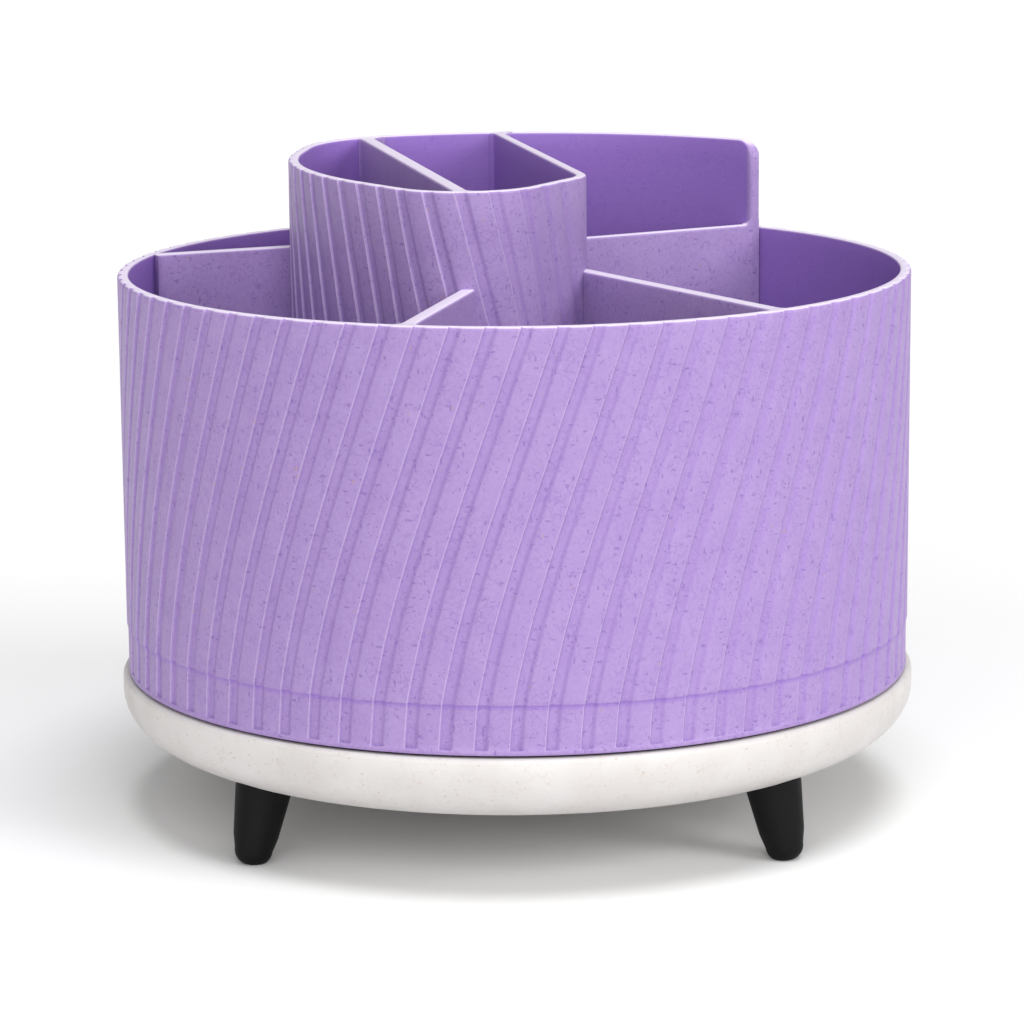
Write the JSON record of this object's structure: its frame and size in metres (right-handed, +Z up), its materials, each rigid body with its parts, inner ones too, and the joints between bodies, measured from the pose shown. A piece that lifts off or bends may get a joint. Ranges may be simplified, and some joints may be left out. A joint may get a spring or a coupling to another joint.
{
  "type": "desk organizer",
  "caption": "Round rotating desk organizer: fluted drum with a tall D-shaped pen cup and low dividers, turning on a ball turntable in a shallow base with short splayed feet.",
  "frame": {"origin": "on the desk, under the turntable's axis", "axes": "+Z up along the turntable's axis, -Y towards the front, +X to the viewer's right"},
  "size_m": [0.158, 0.158, 0.1253],
  "materials": {
    "lilac_plastic": "moulded, fine satin texture with small flecks",
    "stone_plastic": "off-white, fine satin texture with small warm flecks",
    "black_plastic": "satin black",
    "race_steel": "pressed and ground steel",
    "ball_steel": "polished bearing steel",
    "zinc_steel": "bright zinc plated",
    "acetal": "natural acetal"
  },
  "bodies": {
    "base": {"base_bowl": "stone_plastic", "base_deck": "stone_plastic", "deck_screws": "zinc_steel", "foot_front_left": "black_plastic", "foot_front_right": "black_plastic", "foot_rear_left": "black_plastic", "foot_rear_right": "black_plastic", "foot_screws": "zinc_steel", "lower_race": "race_steel", "lower_race_screws": "zinc_steel", "pivot_bush": "acetal"},
    "cage": {"ball_cage": "acetal", "bearing_balls": "ball_steel"},
    "drum": {"drum_shell": "lilac_plastic", "tall_insert": "lilac_plastic", "cup_divider": "lilac_plastic", "front_left_divider": "lilac_plastic", "front_right_divider": "lilac_plastic", "left_rear_divider": "lilac_plastic", "insert_screws": "zinc_steel", "upper_race": "race_steel", "upper_race_screws": "zinc_steel", "pivot_screw": "zinc_steel", "pivot_washer": "zinc_steel"}
  },
  "joints": [
    {"name": "drum_spin", "type": "hinge", "parent": "base", "child": "drum", "pos_m": [0, 0, 0.03], "axis": [0, 0, 1], "continuous": true},
    {"name": "cage_spin", "type": "hinge", "parent": "base", "child": "cage", "pos_m": [0, 0, 0.0293], "axis": [0, 0, 1], "continuous": true}
  ],
  "couplings": [
    {"joint": "cage_spin", "follows": "drum_spin", "ratio": 0.5}
  ]
}
